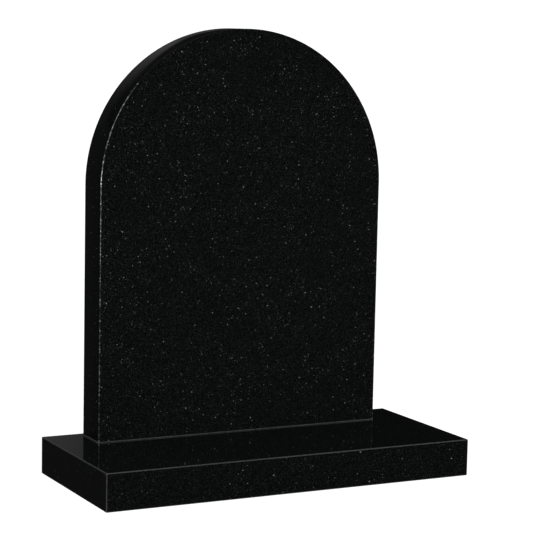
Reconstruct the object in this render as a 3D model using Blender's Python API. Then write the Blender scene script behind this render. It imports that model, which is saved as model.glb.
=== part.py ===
"""Headstone: an upright tablet with a semicircular top, standing on a low rectangular base.

Units are metres and +Z is up. The origin is the centre of the base's underside, +X runs along
the front towards the right, and the front faces -Y.
"""

import math

import bmesh
import bpy

# Driving dimensions
BASE_WIDTH = 0.762
BASE_DEPTH = 0.330
BASE_HEIGHT = 0.072
TABLET_WIDTH = 0.603
TABLET_THICKNESS = 0.080
TABLET_SIDE_HEIGHT = 0.487  # straight side, from the base's top to where the arch springs
BACK_MARGIN = 0.015  # from the base's back edge in to the tablet's back
ARRIS = 0.002  # what the fine rounding takes off each side of an edge
BED_GAP = 0.0003  # between the base's top and the tablet's foot

# Facets of the round parts
ARCH_FACETS = 96
ARRIS_FACETS = 2
SHARP_ANGLE = math.radians(30)

# Polished near-black granite
STONE_COLOUR = (0.0045, 0.0050, 0.0048, 1.0)
STONE_ROUGHNESS = 0.08
STONE_IOR = 1.55


def clear_scene():
    for old in list(bpy.data.objects):
        bpy.data.objects.remove(old)


def polished_granite(name):
    """A polished stone material: near black, smooth and not metallic."""
    material = bpy.data.materials.new(name)
    material.use_nodes = True
    shader = material.node_tree.nodes["Principled BSDF"]
    shader.inputs["Base Color"].default_value = STONE_COLOUR
    shader.inputs["Roughness"].default_value = STONE_ROUGHNESS
    shader.inputs["Metallic"].default_value = 0.0
    shader.inputs["IOR"].default_value = STONE_IOR
    material.diffuse_color = STONE_COLOUR
    return material


def rectangle(width, low, high):
    """The (x, z) corners of a rectangle centred on x = 0, anticlockwise from the front."""
    half = width / 2
    return [(-half, low), (half, low), (half, high), (-half, high)]


def arched_outline(width, low, spring):
    """The (x, z) points of the tablet's face: a foot, two straight sides and a half circle
    between them whose centre is at the height of the springing."""
    radius = width / 2
    turns = [math.pi * i / ARCH_FACETS for i in range(ARCH_FACETS + 1)]
    arch = [(radius * math.cos(turn), spring + radius * math.sin(turn)) for turn in turns]
    return [(-radius, low), (radius, low)] + arch


def slab(name, outline, front, thickness):
    """A closed slab: the outline at y = front, carried straight back by the thickness."""
    shape = bmesh.new()
    corners = [shape.verts.new((x, front, z)) for x, z in outline]
    face = shape.faces.new(corners)
    grown = bmesh.ops.extrude_face_region(shape, geom=[face])
    moved = [item for item in grown["geom"] if isinstance(item, bmesh.types.BMVert)]
    bmesh.ops.translate(shape, verts=moved, vec=(0.0, thickness, 0.0))
    bmesh.ops.recalc_face_normals(shape, faces=shape.faces)
    mesh = bpy.data.meshes.new(name)
    shape.to_mesh(mesh)
    shape.free()
    mesh.shade_smooth()
    mesh.set_sharp_from_angle(angle=SHARP_ANGLE)
    piece = bpy.data.objects.new(name, mesh)
    bpy.context.collection.objects.link(piece)
    return piece


def ease_arrises(piece):
    """Rounds every sharp edge a little, as a mason eases an arris. The arch stays as it is."""
    bevel = piece.modifiers.new("eased arrises", "BEVEL")
    bevel.width = ARRIS
    bevel.segments = ARRIS_FACETS
    bevel.limit_method = "ANGLE"
    bevel.angle_limit = SHARP_ANGLE


def make_base():
    """The block that the tablet stands on."""
    outline = rectangle(BASE_WIDTH, 0.0, BASE_HEIGHT)
    piece = slab("base", outline, -BASE_DEPTH / 2, BASE_DEPTH)
    piece.data.materials.append(polished_granite("base granite"))
    ease_arrises(piece)


def make_tablet():
    """The upright stone, set towards the back of the base."""
    back = BASE_DEPTH / 2 - BACK_MARGIN
    spring = BASE_HEIGHT + TABLET_SIDE_HEIGHT
    outline = arched_outline(TABLET_WIDTH, BASE_HEIGHT + BED_GAP, spring)
    piece = slab("tablet", outline, back - TABLET_THICKNESS, TABLET_THICKNESS)
    piece.data.materials.append(polished_granite("tablet granite"))
    ease_arrises(piece)


def main():
    clear_scene()
    make_base()
    make_tablet()


main()
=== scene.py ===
"""Headstone in polished black granite: a round-topped tablet on a low base, in a pale studio.

Lengths are metres and +Z is up. The front faces -Y, and the origin is the centre of the
base's underside. The stones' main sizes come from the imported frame. The property groups
below hold them, the finishes and the studio's settings.
"""

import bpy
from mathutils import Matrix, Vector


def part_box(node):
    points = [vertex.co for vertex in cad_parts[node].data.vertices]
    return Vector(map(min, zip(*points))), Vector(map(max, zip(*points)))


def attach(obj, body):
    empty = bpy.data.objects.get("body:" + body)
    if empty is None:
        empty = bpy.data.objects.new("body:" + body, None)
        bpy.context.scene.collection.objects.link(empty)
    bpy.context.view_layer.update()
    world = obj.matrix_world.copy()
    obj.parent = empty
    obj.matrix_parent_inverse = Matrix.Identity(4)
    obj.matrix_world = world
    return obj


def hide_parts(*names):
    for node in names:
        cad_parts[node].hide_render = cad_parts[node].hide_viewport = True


bl_info = {
    "name": "Headstone",
    "version": (1, 0, 0),
    "blender": (4, 5, 0),
    "location": "View3D > Sidebar > Headstone",
    "description": "Builds a polished granite headstone, its base and a pale studio round them",
    "category": "Add Mesh",
}

import math
from typing import NamedTuple

import bpy
import numpy as np
from bpy.props import FloatProperty, FloatVectorProperty, IntProperty, PointerProperty
from mathutils import Matrix, Vector

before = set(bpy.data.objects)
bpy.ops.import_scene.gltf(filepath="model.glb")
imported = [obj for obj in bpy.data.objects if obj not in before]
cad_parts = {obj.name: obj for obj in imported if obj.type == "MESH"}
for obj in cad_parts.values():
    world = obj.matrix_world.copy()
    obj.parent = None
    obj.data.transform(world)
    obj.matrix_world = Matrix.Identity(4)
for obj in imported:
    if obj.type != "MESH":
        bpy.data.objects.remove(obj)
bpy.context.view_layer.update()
BASE_LOW, BASE_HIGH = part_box("base")
TABLET_LOW, TABLET_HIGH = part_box("tablet")

PICTURE_SIDE = 533  # pixels
SENSOR_WIDTH = 36.0  # millimetres
MM = 0.001
QUARTER = math.pi / 2
WHITE = (1.0, 1.0, 1.0, 1.0)


def linear(hex_colour):
    """The linear red, green and blue of an sRGB hex colour."""
    parts = [int(hex_colour[i : i + 2], 16) / 255 for i in (1, 3, 5)]
    return tuple(
        part / 12.92 if part <= 0.04045 else ((part + 0.055) / 1.055) ** 2.4
        for part in parts
    )


def colour_property(name, description, hex_colour):
    """A colour property whose default is an sRGB hex colour."""
    return FloatVectorProperty(
        name=name,
        description=description,
        subtype="COLOR",
        size=3,
        min=0.0,
        max=1.0,
        default=linear(hex_colour),
    )


class StoneSizes(bpy.types.PropertyGroup):
    """Sizes of the two stones and of their eased edges."""

    base_width: FloatProperty(
        name="Base width",
        description="Width of the base along X",
        default=BASE_HIGH.x - BASE_LOW.x,
        unit="LENGTH",
    )
    base_height: FloatProperty(
        name="Base height",
        description="Height of the base",
        default=BASE_HIGH.z - BASE_LOW.z,
        unit="LENGTH",
    )
    base_front: FloatProperty(
        name="Base front",
        description="Where the base's front face stands along Y",
        default=BASE_LOW.y,
        unit="LENGTH",
    )
    base_back: FloatProperty(
        name="Base back",
        description="Where the base's back face stands along Y",
        default=BASE_HIGH.y,
        unit="LENGTH",
    )
    tablet_width: FloatProperty(
        name="Tablet width",
        description="Width of the tablet, which is also the span of its round top",
        default=TABLET_HIGH.x - TABLET_LOW.x,
        unit="LENGTH",
    )
    tablet_top: FloatProperty(
        name="Tablet top",
        description="Height of the tablet's crown above the ground",
        default=TABLET_HIGH.z,
        unit="LENGTH",
    )
    tablet_front: FloatProperty(
        name="Tablet front",
        description="Where the tablet's front face stands along Y",
        default=TABLET_LOW.y,
        unit="LENGTH",
    )
    tablet_back: FloatProperty(
        name="Tablet back",
        description="Where the tablet's back face stands along Y",
        default=TABLET_HIGH.y,
        unit="LENGTH",
    )
    bed_joint: FloatProperty(
        name="Bed joint",
        description="Gap left between the tablet's foot and the base's top",
        default=0.05 * MM,
        unit="LENGTH",
    )
    arris: FloatProperty(
        name="Arris",
        description="Radius of the eased edges round the front and back faces",
        default=1.7 * MM,
        unit="LENGTH",
    )
    corner: FloatProperty(
        name="Corner",
        description="Radius of the eased edges that run from front to back",
        default=1.9 * MM,
        unit="LENGTH",
    )
    polish_edge: FloatProperty(
        name="Polish edge",
        description="Width over which an eased edge passes into the polished face",
        default=0.2 * MM,
        unit="LENGTH",
    )
    roll: FloatProperty(
        name="Roll",
        description="How far the band's polish leans forward beside the front arris",
        default=math.radians(9),
        subtype="ANGLE",
    )
    roll_width: FloatProperty(
        name="Roll width",
        description="How far behind the front face the band's polish is flat again",
        default=50.0 * MM,
        unit="LENGTH",
    )
    # Painted highlight: up to this angle the arrises keep their chips and painted glints. Above
    # it they are drawn dark, as if the crown's arris turned away from the light.
    glinting_arch: FloatProperty(
        name="Worn arch",
        description="How far up the round top, from its spring, the arrises are chipped",
        default=math.radians(40.5),
        subtype="ANGLE",
    )
    arch_facets: IntProperty(
        name="Arch facets",
        description="Facets round the tablet's half circle, an odd number",
        default=361,
        min=3,
    )
    edge_facets: IntProperty(
        name="Edge facets",
        description="Facets across an eased edge",
        default=4,
        min=1,
    )


class GraniteFinish(bpy.types.PropertyGroup):
    """Colours, grain and polish of the granite."""

    ground: colour_property("Ground", "Darkest mineral grains", "#121413")
    pale: colour_property("Pale", "Palest of the common grains", "#2D302F")
    fleck: colour_property("Fleck", "Feldspar and mica flecks", "#F4F5F2")
    honed: colour_property("Honed", "Unpolished stone on the eased edges", "#656665")
    # A grain of this stone is about 0.5 to 1 mm wide. It is drawn wider, because a pixel of
    # the picture covers nearly 2 mm and finer grain wouldn't show.
    grain: FloatProperty(
        name="Grain",
        description="Width of a mineral grain",
        default=1.3 * MM,
        unit="LENGTH",
    )
    fleck_share: FloatProperty(
        name="Fleck share",
        description="How bright a grain is that is paler than about two in three of them",
        default=0.00015,
        min=0.0,
    )
    fleck_growth: FloatProperty(
        name="Fleck growth",
        description="How fast the grains get brighter as they get rarer",
        default=4.1,
    )
    # Painted glint: the flecks on the sides and top are drawn dimmer than on the front and back.
    end_glint: FloatProperty(
        name="End glint",
        description="How bright the flecks are on faces across the rift, against the front's",
        default=0.25,
        min=0.0,
        max=1.0,
        subtype="FACTOR",
    )
    # Share of the flecks' painted glint that the base's front gets, against the tablet's front.
    base_glint_plane: FloatProperty(
        name="Base rift",
        description="How far the base's front lies along the rift, where the tablet's is 1",
        default=0.4,
        min=0.0,
        max=1.0,
        subtype="FACTOR",
    )
    drift: FloatProperty(
        name="Drift",
        description="Width of the drifts in which the flecks lie closer or sparser",
        default=45.0 * MM,
        unit="LENGTH",
    )
    # Chips and mica flakes are 1 to 3 mm wide. Wide ones are drawn, so that they show.
    chip_size: FloatProperty(
        name="Chip size",
        description="Width of a chip along an arris, and of a cell that may hold a mica flake",
        default=3.0 * MM,
        unit="LENGTH",
    )
    # The chips' added brightness is partly paler broken stone and partly painted glints.
    chip_glints: FloatProperty(
        name="Chips",
        description="How much the brightest chips add to an arris, where honed stone is 1",
        default=4.8,
        min=0.0,
    )
    polish: FloatProperty(
        name="Polish",
        description="Roughness of the polished faces",
        default=0.05,
        min=0.0,
        max=1.0,
        subtype="FACTOR",
    )
    hone: FloatProperty(
        name="Hone",
        description="Roughness of the honed and the chipped edges",
        default=0.13,
        min=0.0,
        max=1.0,
        subtype="FACTOR",
    )


class StudioSetup(bpy.types.PropertyGroup):
    """The camera, the floor and the light round the headstone."""

    camera_place: FloatVectorProperty(
        name="Camera place",
        description="Where the camera stands",
        subtype="XYZ",
        unit="LENGTH",
        default=(-1.65017, -3.25419, 0.86762),
    )
    camera_turn: FloatProperty(
        name="Camera turn",
        description="How far the camera looks to the right of straight back",
        default=math.radians(27.0904),
        subtype="ANGLE",
    )
    camera_dip: FloatProperty(
        name="Camera dip",
        description="How far the camera looks down",
        default=math.radians(7.1779),
        subtype="ANGLE",
    )
    camera_roll: FloatProperty(
        name="Camera roll",
        description="How far the camera leans about its own axis",
        default=math.radians(1.1377),
        subtype="ANGLE",
    )
    focal_pixels: FloatProperty(
        name="Focal length in pixels",
        description="Focal length in pixels of the square picture",
        default=1914.67,
    )
    floor_side: FloatProperty(
        name="Floor side",
        description="Side of the square floor",
        default=40.0,
        unit="LENGTH",
    )
    floor_paint: colour_property("Floor paint", "Colour of the floor's paint", "#BCBCBC")
    floor_glow: FloatProperty(
        name="Floor glow",
        description="How bright the floor is without any light on it",
        default=0.97,
        min=0.0,
    )
    backdrop_light: FloatProperty(
        name="Backdrop light",
        description="How bright the pale surroundings are to the camera",
        default=1.1,
        min=0.0,
    )
    even_light: FloatProperty(
        name="Even light",
        description="Light on matt surfaces from all round",
        default=0.15,
        min=0.0,
    )
    front_light: FloatProperty(
        name="Front light",
        description="Light on matt surfaces from the middle of the soft light in front",
        default=0.75,
        min=0.0,
    )
    front_turn: FloatProperty(
        name="Front turn",
        description="Bearing of the soft light in front, from straight back to the right",
        default=math.radians(172),
        subtype="ANGLE",
    )
    front_rise: FloatProperty(
        name="Front rise",
        description="Height of the soft light in front above the horizon",
        default=math.radians(28),
        subtype="ANGLE",
    )
    front_focus: FloatProperty(
        name="Front focus",
        description="Power of the cosine by which the light in front falls off sideways",
        default=4.0,
        min=0.0,
    )


# Finishes of a point, as its shares of honed and of chipped stone. The shares of its row and
# of its place along the outline are added, so the crown's take the chips and their painted
# glints away: a painted highlight that ends partway up the arch. At the base's corners two
# honed shares add up to a painted glint. A share of honed stone above 1 is paler than honed
# stone, as the tablet's foot is at its bed.
POLISHED = (0.0, 0.0)
HONED = (1.0, 0.0)
CHIPPED_GLINTING = (0.0, 1.0)
UNGLINTED = (0.0, -1.0)
BEDDED = (2.2, 0.0)
# Painted glint: the tablet's foot corners are drawn 4.5 times as pale as honed stone.
FOOT_CORNER_GLINT = (4.5, 0.0)


class Outline(NamedTuple):
    """A stretch of a stone's outline seen from the front: its points (x, z), the directions
    that face out of the stone there, and the finish at each point."""

    points: np.ndarray
    outward: np.ndarray
    finish: np.ndarray


class Profile(NamedTuple):
    """The way over a stone from front to back. Each row has its inset from the outline, its
    y, the lean of its surface in radians (below zero to the front, above zero to the back)
    and its finish."""

    inset: np.ndarray
    depth: np.ndarray
    lean: np.ndarray
    finish: np.ndarray


def one_point(x, z, outward, finish=POLISHED):
    """One point of an outline, between its arcs."""
    return Outline(np.array([[x, z]]), np.array([outward]), np.array([finish]))


def arc(centre, radius, turn, finish):
    """An arc: its centre plus the radius times the cosine and sine of each turn, which are
    its outward directions too."""
    outward = np.stack([np.cos(turn), np.sin(turn)], axis=1)
    return Outline(
        np.array(centre) + radius * outward, outward, np.broadcast_to(finish, outward.shape)
    )


def joined(*stretches):
    """Stretches of outline, one after the other."""
    return Outline(*(np.concatenate(parts) for parts in zip(*stretches)))


def whole_outline(right):
    """The right half of an outline, from the foot to the crown, closed with its mirror image
    in x = 0. The loop runs anticlockwise as seen from the front."""
    flip = np.array([-1.0, 1.0])
    left = Outline(right.points * flip, right.outward * flip, right.finish)
    return joined(right, Outline(*(part[::-1] for part in left)))


def base_outline(sizes):
    """The base seen from the front: a rectangle whose corners are quarter circles."""
    half, low, high = sizes.base_width / 2, BASE_LOW.z, BASE_LOW.z + sizes.base_height
    corner, edge = sizes.corner, sizes.polish_edge
    turn = np.linspace(0.0, QUARTER, sizes.edge_facets + 1)
    return whole_outline(
        joined(
            one_point(half - corner - edge, low, (0.0, -1.0)),
            arc((half - corner, low + corner), corner, turn - QUARTER, HONED),
            one_point(half, low + corner + edge, (1.0, 0.0)),
            one_point(half, high - corner - edge, (1.0, 0.0)),
            arc((half - corner, high - corner), corner, turn, HONED),
            one_point(half - corner - edge, high, (0.0, 1.0)),
        )
    )


def tablet_outline(sizes):
    """The tablet seen from the front: straight sides under a half circle whose radius is half
    the width, with the foot's corners as quarter circles. One facet bridges the crown."""
    half = sizes.tablet_width / 2
    low = BASE_LOW.z + sizes.base_height + sizes.bed_joint
    spring = sizes.tablet_top - half
    corner, edge = sizes.corner, sizes.polish_edge
    foot_turn = np.linspace(-QUARTER, 0.0, sizes.edge_facets + 1)
    last_turn = QUARTER * (1 - 1 / sizes.arch_facets)
    arch_turn = np.linspace(0.0, last_turn, sizes.arch_facets // 2 + 1)
    # Painted highlight: above the given angle the arris loses its chips and painted glints, so
    # its pale line ends partway up the arch.
    arch_finish = np.where(arch_turn[:, None] < sizes.glinting_arch, POLISHED, UNGLINTED)
    return whole_outline(
        joined(
            one_point(half - corner - edge, low, (0.0, -1.0), BEDDED),
            # Painted glint on the foot's corners.
            arc((half - corner, low + corner), corner, foot_turn, FOOT_CORNER_GLINT),
            one_point(half, low + corner + edge, (1.0, 0.0)),
            arc((0.0, spring), half, arch_turn, arch_finish),
        )
    )


def edge_profile(front, back, finish, roll, sizes):
    """The way over a stone from front to back. Each arris is a quarter circle: at the lean t
    the inset is r (1 - cos t), and y has moved on by r (1 + sin t). Behind the front arris
    the lean falls evenly from the roll to nothing."""
    radius, edge = sizes.arris, sizes.polish_edge
    turn = np.linspace(-QUARTER, 0.0, sizes.edge_facets + 1)
    inset = np.concatenate([[radius + edge], radius * (1 - np.cos(turn)), [0.0]])
    depth = np.concatenate([[0.0], radius * (1 + np.sin(turn)), [radius + edge]])
    lean = np.concatenate([[-QUARTER], turn, [0.0]])
    rows = np.concatenate([[POLISHED], np.tile(finish, (len(turn), 1)), [POLISHED]])
    return Profile(
        np.concatenate([inset, [0.0], inset[::-1]]),
        np.concatenate([front + depth, [front + sizes.roll_width], (back - depth)[::-1]]),
        np.concatenate([np.minimum(lean, -roll), [0.0], -lean[::-1]]),
        np.concatenate([rows, [POLISHED], rows[::-1]]),
    )


def stone(name, outline, profile, glint_plane):
    """A closed stone: the profile's rows carried round the outline, and one flat face at each
    end. A point is the outline's point less the row's inset times the outward direction, and
    it faces cos(lean) times that direction and sin(lean) along Y. The flecks are drawn brighter
    on the front and back faces than on the sides and top, by the stone's given share times
    sin(lean): a painted glint, which stands in for light caught by the flecks."""
    rows, columns = len(profile.inset), len(outline.points)
    place = np.empty((rows, columns, 3))
    place[..., [0, 2]] = outline.points - profile.inset[:, None, None] * outline.outward
    place[..., 1] = profile.depth[:, None]
    normal = np.empty_like(place)
    normal[..., [0, 2]] = np.cos(profile.lean)[:, None, None] * outline.outward
    normal[..., 1] = np.sin(profile.lean)[:, None]
    # Shares add, so where two honed edges meet at the base's corners the stone is twice as pale
    # as honed: a painted glint.
    finish = np.maximum(profile.finish[:, None] + outline.finish[None, :], 0.0)
    finish[[0, -1]] = POLISHED
    honed, chipped_glinting = finish.reshape(-1, 2).T
    # Painted glint: the flecks are brightest on the front and back faces.
    on_glint_plane = glint_plane * np.repeat(np.abs(np.sin(profile.lean)), columns)

    index = np.arange(rows * columns).reshape(rows, columns)
    following = np.roll(index, -1, axis=1)
    quads = np.stack([index[:-1], index[1:], following[1:], following[:-1]], axis=-1)
    faces = quads.reshape(-1, 4).tolist()
    faces.append(index[0].tolist())
    faces.append(index[-1][::-1].tolist())

    mesh = bpy.data.meshes.new(name)
    mesh.from_pydata(place.reshape(-1, 3), [], faces)
    mesh.shade_smooth()
    for kind, values in (("honed", honed), ("chipped_glinting", chipped_glinting), ("glint_plane", on_glint_plane)):
        attribute = mesh.attributes.new(kind, "FLOAT", "POINT")
        attribute.data.foreach_set("value", values.astype(np.float32))
    mesh.normals_split_custom_set_from_vertices(normal.reshape(-1, 3).tolist())
    piece = bpy.data.objects.new(name, mesh)
    bpy.context.scene.collection.objects.link(piece)
    return piece


# A Map Range node's inputs are a value, the ends of the stretch that it lies in, and the ends
# of the stretch that it is carried to, which are 0 and 1 where they aren't given.
RISING, FALLING = (0.0, 1.0), (1.0, 0.0)

# A Mix node's sockets go by number, because those for numbers, vectors and colours have the
# same names: its factor, its first and second colour, and the colour that comes out.
FACTOR, FIRST, SECOND, MIXED = 0, 6, 7, 2


def add_node(tree, kind, inputs=(), **settings):
    """Adds a node with its settings and links. The inputs stand in the order of its sockets, or
    by their names or numbers. Each is a value, the socket that it is linked from, or a node
    that it is linked from by its first output."""
    node = tree.nodes.new("ShaderNode" + kind)
    for name, value in settings.items():
        setattr(node, name, value)
    named = inputs if isinstance(inputs, dict) else dict(enumerate(inputs))
    for name, value in named.items():
        if isinstance(value, bpy.types.Node):
            value = value.outputs[0]
        if isinstance(value, bpy.types.NodeSocket):
            tree.links.new(value, node.inputs[name])
        else:
            node.inputs[name].default_value = value
    return node


def new_material(name):
    """A material with an empty node tree, and that tree."""
    material = bpy.data.materials.new(name)
    material.use_nodes = True
    tree = material.node_tree
    tree.nodes.clear()
    return material, tree


GRANITE = "Polished black granite"
GRANITE_IOR = 1.55  # about that of feldspar
GLOSS = 0.5  # the specular level at which the IOR alone sets the gloss
GROUND_POWER = 3.0  # the higher, the fewer of the common grains are pale
DRIFT_NOISE = (0.3, 0.7)  # the stretch of the noise that the drifts are made from
DRIFT_LIGHT = (0.4, 1.6)  # how bright the flecks are in the sparsest and the closest drift
MICA_RARITY = (0.9982, 0.9990)  # shares of cells with no flake, and with no full one
MICA_REACH = (0.48, 0.36)  # of a cell, where a flake ends and where it is full
HONED_SPREAD = (0.6, 1.4)  # the darkest and the palest grain of a honed edge
# The bright chips are partly paler broken stone and partly painted glints.
CHIP_POWER = 5.5  # the higher, the rarer the bright chips are
CHIP_FLOOR = 0.22  # how bright an arris is between its chips, against honed stone
CHIP_GLOSS = 0.75  # specular level that a chip as pale as honed stone adds
CHIP_DULLING = -0.3  # specular level that a chipped arris loses


def add_flecks(tree, place, grain, cells, finish):
    """How bright the fleck of a point is. A grain's is b = share (-ln(1 - u)) ** growth, where
    u is the grain's own random number, so that each step brighter is several times rarer.
    Drifts scale it and a few cells hold a mica flake. Both are drawn brighter on the front and
    back faces than on the sides and top: a painted glint, which stands in for light caught by
    the flecks."""
    left = add_node(tree, "Math", (1.0, grain["Red"]), operation="SUBTRACT")
    rarity = add_node(tree, "Math", (left, math.e), operation="LOGARITHM")
    rarity = add_node(tree, "Math", (rarity, -1.0), operation="MULTIPLY")
    growth = add_node(tree, "Math", (rarity, finish.fleck_growth), operation="POWER")
    light = add_node(tree, "Math", (growth, finish.fleck_share), operation="MULTIPLY")
    cloud = add_node(tree, "TexNoise", {"Vector": place, "Scale": 1 / finish.drift})
    drift = add_node(tree, "MapRange", (cloud, *DRIFT_NOISE, *DRIFT_LIGHT))
    light = add_node(tree, "Math", (light, drift), operation="MULTIPLY")

    cell = add_node(tree, "SeparateColor", {"Color": cells.outputs["Color"]})
    mica = add_node(tree, "MapRange", (cell.outputs["Green"], *MICA_RARITY))
    core = add_node(tree, "MapRange", (cells.outputs["Distance"], *MICA_REACH))
    light = add_node(tree, "Math", (mica, core, light), operation="MULTIPLY_ADD")

    # The flecks' painted glint, full on the front and back faces.
    glint_plane = add_node(tree, "Attribute", attribute_name="glint_plane").outputs["Fac"]
    glint = (glint_plane, 1 - finish.end_glint, finish.end_glint)
    glint = add_node(tree, "Math", glint, operation="MULTIPLY_ADD")
    return add_node(tree, "Math", (light, glint), operation="MULTIPLY")


def add_chip_glints(tree, cells, finish):
    """How bright a chipped arris is against honed stone: a floor, plus the chips times a power
    of the cell's own random number, so that bright chips are rare and far apart. The bright
    chips are partly paler broken stone and partly painted glints."""
    cell = add_node(tree, "SeparateColor", {"Color": cells.outputs["Color"]})
    rare = add_node(tree, "Math", (cell.outputs["Red"], CHIP_POWER), operation="POWER")
    return add_node(tree, "Math", (rare, finish.chip_glints, CHIP_FLOOR), operation="MULTIPLY_ADD")


def polished_black_granite(finish):
    """Black granite (gabbro) from the polishing wheel, its edges eased by hand. To the eye the
    polish is a near-black mirror in which feldspar and mica catch the light as fine flecks,
    honed edges are even grey lines, and chipped ones are dotted with pale chips. The flecks'
    extra brightness on the front and back, and the brightest chips, are painted glints."""
    material, tree = new_material(GRANITE)
    place = add_node(tree, "TexCoord").outputs["Object"]
    grains = add_node(tree, "TexVoronoi", {"Vector": place, "Scale": 1 / finish.grain})
    grain = add_node(tree, "SeparateColor", {"Color": grains.outputs["Color"]}).outputs
    cells = add_node(tree, "TexVoronoi", {"Vector": place, "Scale": 1 / finish.chip_size})
    honed = add_node(tree, "Attribute", attribute_name="honed").outputs["Fac"]
    chipped_glinting = add_node(tree, "Attribute", attribute_name="chipped_glinting").outputs["Fac"]

    # The polish: the common grains with the flecks added.
    common = add_node(tree, "Math", (grain["Green"], GROUND_POWER), operation="POWER")
    surface = {FACTOR: common, FIRST: (*finish.ground, 1.0), SECOND: (*finish.pale, 1.0)}
    surface = add_node(tree, "Mix", surface, data_type="RGBA").outputs[MIXED]
    flecks = add_flecks(tree, place, grain, cells, finish)
    surface = {FACTOR: flecks, FIRST: surface, SECOND: (*finish.fleck, 1.0)}
    surface = add_node(tree, "Mix", surface, data_type="RGBA", blend_type="ADD").outputs[MIXED]

    # The edges: chipped stone, whose pale dots are partly painted glints, over the polish, and
    # honed stone over both.
    # Painted glints: the brightest chips are drawn several times paler than honed stone.
    chip_glints = add_chip_glints(tree, cells, finish)
    glint_dots = add_node(tree, "VectorMath", {0: finish.honed, "Scale": chip_glints}, operation="SCALE")
    surface = {FACTOR: chipped_glinting, FIRST: surface, SECOND: glint_dots}
    surface = add_node(tree, "Mix", surface, data_type="RGBA").outputs[MIXED]
    even = add_node(tree, "MapRange", (grain["Blue"], *RISING, *HONED_SPREAD))
    even = add_node(tree, "Math", (even, honed), operation="MULTIPLY")
    plain = add_node(tree, "VectorMath", {0: finish.honed, "Scale": even}, operation="SCALE")
    surface = {FACTOR: honed, FIRST: surface, SECOND: plain}
    surface = add_node(tree, "Mix", surface, data_type="RGBA").outputs[MIXED]

    rough = add_node(tree, "Math", (honed, chipped_glinting), operation="MAXIMUM")
    rough = add_node(tree, "MapRange", (rough, *RISING, finish.polish, finish.hone))
    gloss = add_node(tree, "Math", (chip_glints, CHIP_GLOSS, CHIP_DULLING), operation="MULTIPLY_ADD")
    gloss = add_node(tree, "Math", (gloss, chipped_glinting, GLOSS), operation="MULTIPLY_ADD")
    shader = add_node(
        tree,
        "BsdfPrincipled",
        {
            "Base Color": surface,
            "Roughness": rough,
            "IOR": GRANITE_IOR,
            "Specular IOR Level": gloss,
        },
    )
    add_node(tree, "OutputMaterial", {"Surface": shader})
    return material


def finish_piece(piece, node, material):
    """Dresses a stone, and has it stand for its CAD node on the root body."""
    piece.data.materials.append(material)
    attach(piece, "root")
    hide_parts(node)


def granite_for(context):
    """The granite, which is made once for both stones."""
    made = bpy.data.materials.get(GRANITE)
    return made or polished_black_granite(context.scene.headstone_finish)


class HEADSTONE_OT_base(bpy.types.Operator):
    """Makes the low base that the tablet stands on"""

    bl_idname = "headstone.make_base"
    bl_label = "Base"

    def execute(self, context):
        sizes, finish = context.scene.headstone_sizes, context.scene.headstone_finish
        profile = edge_profile(sizes.base_front, sizes.base_back, HONED, 0.0, sizes)
        piece = stone("granite_base", base_outline(sizes), profile, finish.base_glint_plane)
        finish_piece(piece, "base", granite_for(context))
        return {"FINISHED"}


class HEADSTONE_OT_tablet(bpy.types.Operator):
    """Makes the upright tablet with its round top"""

    bl_idname = "headstone.make_tablet"
    bl_label = "Tablet"

    def execute(self, context):
        sizes = context.scene.headstone_sizes
        profile = edge_profile(sizes.tablet_front, sizes.tablet_back, CHIPPED_GLINTING, sizes.roll, sizes)
        piece = stone("granite_tablet", tablet_outline(sizes), profile, glint_plane=1.0)
        finish_piece(piece, "tablet", granite_for(context))
        return {"FINISHED"}


def matt_pale_paint(studio):
    """Matt pale paint, rolled on: an even field with no gloss. It glows, so that the stone's
    shadow is no more than a trace."""
    material, tree = new_material("Matt pale paint")
    paint = add_node(tree, "BsdfDiffuse", {"Color": (*studio.floor_paint, 1.0)})
    glow = add_node(tree, "Emission", {"Color": WHITE, "Strength": studio.floor_glow})
    both = add_node(tree, "AddShader", (paint, glow))
    add_node(tree, "OutputMaterial", {"Surface": both})
    return material


def make_floor(studio):
    """A wide pale floor. It is there for the eye, and the stone neither mirrors it nor takes
    light from it."""
    half = studio.floor_side / 2
    mesh = bpy.data.meshes.new("floor")
    corners = [(-half, -half, 0), (half, -half, 0), (half, half, 0), (-half, half, 0)]
    mesh.from_pydata(corners, [], [(0, 1, 2, 3)])
    mesh.materials.append(matt_pale_paint(studio))
    floor = bpy.data.objects.new("floor", mesh)
    bpy.context.scene.collection.objects.link(floor)
    floor.visible_glossy = False
    floor.visible_diffuse = False


class SoftPanel(NamedTuple):
    """A panel that the polish mirrors, in degrees. Its bearing (0 is straight back, positive
    to the right) and its height each start, are full, stop being full and end. A round one
    also has the bearing of its centre, and the angles off it where it stops being full and
    where it ends."""

    bearing: tuple
    height: tuple
    brightness: float
    disc: tuple = ()


PANELS = {
    "left": SoftPanel((-165, -150, -110, -94), (-5.7, -4.9, 0, 7), 7.5),
    "high left": SoftPanel((-165, -150, -110, -94), (15, 24, 29, 38), 6.0),
    "dim above": SoftPanel((-60, -40, 30, 50), (14, 22, 50, 80), 0.009),
    "behind right": SoftPanel((12, 18, 24, 30), (5, 9, 14, 17), 0.060),
    "low behind": SoftPanel((-50, -35, -8, 4), (-30, -20, 14, 20), 0.018),
    "low right": SoftPanel((20, 28, 45, 60), (-30, -20, 14, 22), 0.003),
    "right": SoftPanel((50, 70, 110, 130), (-40, -30, -10, 5), 0.08),
    "behind": SoftPanel((-24, 22, 24, 30), (7.5, 17, 80, 90), 0.125, disc=(-8, 28.8, 32.5)),
}
OVERHEAD_HEIGHT = (30, 90)  # degrees, where the light overhead starts and where it is full
OVERHEAD_LIGHT = 0.2


def toward(turn, up):
    """The direction at a bearing and a height: its x is sin(turn) cos(up), its y is
    cos(turn) cos(up), and its z is sin(up)."""
    return math.sin(turn) * math.cos(up), math.cos(turn) * math.cos(up), math.sin(up)


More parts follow.
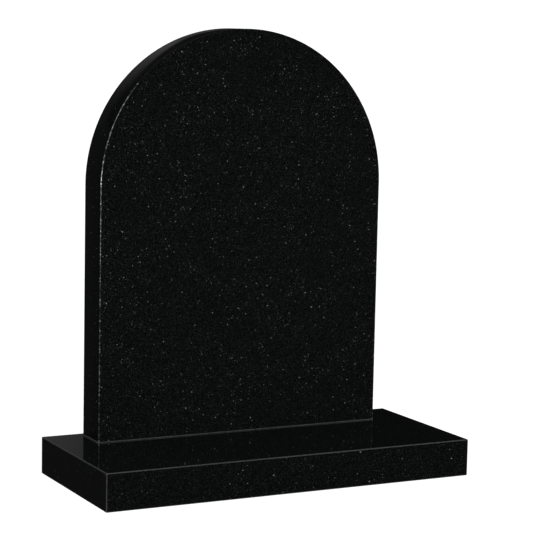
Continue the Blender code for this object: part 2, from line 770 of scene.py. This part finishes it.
def panel_light(tree, direction, bearing, height, panel):
    """A soft panel's light: its brightness times a soft step at each of its ends."""
    ends = [
        (bearing, panel.bearing[:2], RISING),
        (bearing, panel.bearing[2:], FALLING),
        (height, panel.height[:2], RISING),
        (height, panel.height[2:], FALLING),
    ]
    if panel.disc:
        turn, *rim = panel.disc
        centre = toward(math.radians(turn), 0.0)
        near = add_node(tree, "VectorMath", (direction, centre), operation="DOT_PRODUCT")
        off = add_node(tree, "Math", [near.outputs["Value"]], operation="ARCCOSINE")
        ends.append((off, rim, FALLING))
    light = panel.brightness
    for angle, step, sense in ends:
        step = (angle, *np.radians(step), *sense)
        step = add_node(tree, "MapRange", step, interpolation_type="SMOOTHSTEP")
        light = add_node(tree, "Math", (light, step), operation="MULTIPLY")
    return light


def mirrored_light(tree, direction):
    """What the polish mirrors: light overhead, and the soft panels round it."""
    part = add_node(tree, "SeparateXYZ", [direction]).outputs
    bearing = add_node(tree, "Math", (part["X"], part["Y"]), operation="ARCTAN2")
    height = add_node(tree, "Math", [part["Z"]], operation="ARCSINE")
    light = (height, *np.radians(OVERHEAD_HEIGHT))
    light = add_node(tree, "MapRange", light, interpolation_type="SMOOTHSTEP")
    light = add_node(tree, "Math", (light, OVERHEAD_LIGHT), operation="MULTIPLY")
    for panel in PANELS.values():
        added = panel_light(tree, direction, bearing, height, panel)
        light = add_node(tree, "Math", (light, added), operation="ADD")
    return light


def matt_light(tree, direction, studio):
    """What lights a matt surface: even light, and soft light in front that falls off by a
    power of the cosine of the angle from its middle, above the viewer and to the right."""
    middle = toward(studio.front_turn, studio.front_rise)
    near = add_node(tree, "VectorMath", (direction, middle), operation="DOT_PRODUCT")
    lobe = add_node(tree, "Math", (near.outputs["Value"], 0.0), operation="MAXIMUM")
    lobe = add_node(tree, "Math", (lobe, studio.front_focus), operation="POWER")
    lobe = (lobe, studio.front_light, studio.even_light)
    return add_node(tree, "Math", lobe, operation="MULTIPLY_ADD")


def make_surroundings(studio):
    """White to the camera, soft light from in front on matt surfaces, and dark with a few soft
    panels in the polish."""
    world = bpy.data.worlds.new("Studio")
    bpy.context.scene.world = world
    world.use_nodes = True
    tree = world.node_tree
    tree.nodes.clear()
    direction = add_node(tree, "TexCoord").outputs["Generated"]
    ray = add_node(tree, "LightPath").outputs
    lights = (
        matt_light(tree, direction, studio),
        mirrored_light(tree, direction),
        studio.backdrop_light,
    )
    matt, mirrored, backdrop = (
        add_node(tree, "Background", {"Color": WHITE, "Strength": light}) for light in lights
    )
    on_stone = add_node(tree, "MixShader", (ray["Is Glossy Ray"], matt, mirrored))
    whole = add_node(tree, "MixShader", (ray["Is Camera Ray"], on_stone, backdrop))
    add_node(tree, "OutputWorld", {"Surface": whole})


def make_camera(studio):
    """A long lens at the photograph's place. The turn is about the vertical, the dip below the
    horizon, and the roll about the line of sight."""
    roll = studio.camera_roll
    forward = Vector(toward(studio.camera_turn, -studio.camera_dip))
    right = forward.cross(Vector((0, 0, 1))).normalized()
    up = right.cross(forward)
    leaned_right = right * math.cos(roll) + up * math.sin(roll)
    leaned_up = up * math.cos(roll) - right * math.sin(roll)
    lens = bpy.data.cameras.new("Camera")
    lens.sensor_width = SENSOR_WIDTH
    lens.lens = studio.focal_pixels / PICTURE_SIDE * SENSOR_WIDTH
    camera = bpy.data.objects.new("Camera", lens)
    bpy.context.scene.collection.objects.link(camera)
    turned = Matrix((leaned_right, leaned_up, -forward)).transposed().to_4x4()
    camera.matrix_world = Matrix.Translation(studio.camera_place) @ turned
    bpy.context.scene.camera = camera


class HEADSTONE_OT_studio(bpy.types.Operator):
    """Makes the pale floor, the soft light and the camera"""

    bl_idname = "headstone.make_studio"
    bl_label = "Studio"

    def execute(self, context):
        studio = context.scene.headstone_studio
        make_floor(studio)
        make_surroundings(studio)
        make_camera(studio)
        context.scene.view_settings.view_transform = "Standard"
        return {"FINISHED"}


class HEADSTONE_PT_panel(bpy.types.Panel):
    """Lists the sizes, the finishes and the steps"""

    bl_label = "Headstone"
    bl_idname = "HEADSTONE_PT_panel"
    bl_space_type = "VIEW_3D"
    bl_region_type = "UI"
    bl_category = "Headstone"

    def draw(self, context):
        for group in GROUPS:
            values = getattr(context.scene, group)
            box = self.layout.box()
            for name in values.__annotations__:
                box.prop(values, name)
        for step in STEPS:
            self.layout.operator(step.bl_idname)


GROUPS = {
    "headstone_sizes": StoneSizes,
    "headstone_finish": GraniteFinish,
    "headstone_studio": StudioSetup,
}
STEPS = (HEADSTONE_OT_base, HEADSTONE_OT_tablet, HEADSTONE_OT_studio)
CLASSES = (*GROUPS.values(), *STEPS, HEADSTONE_PT_panel)


def register():
    """Registers the classes, and puts the property groups on the scene."""
    for made in CLASSES:
        bpy.utils.register_class(made)
    for name, group in GROUPS.items():
        setattr(bpy.types.Scene, name, PointerProperty(type=group))


def unregister():
    """Takes the property groups off the scene, and the classes away."""
    for name in GROUPS:
        delattr(bpy.types.Scene, name)
    for made in reversed(CLASSES):
        bpy.utils.unregister_class(made)


def main():
    """Builds everything."""
    register()
    bpy.ops.headstone.make_base()
    bpy.ops.headstone.make_tablet()
    bpy.ops.headstone.make_studio()


if __name__ == "__main__":
    main()
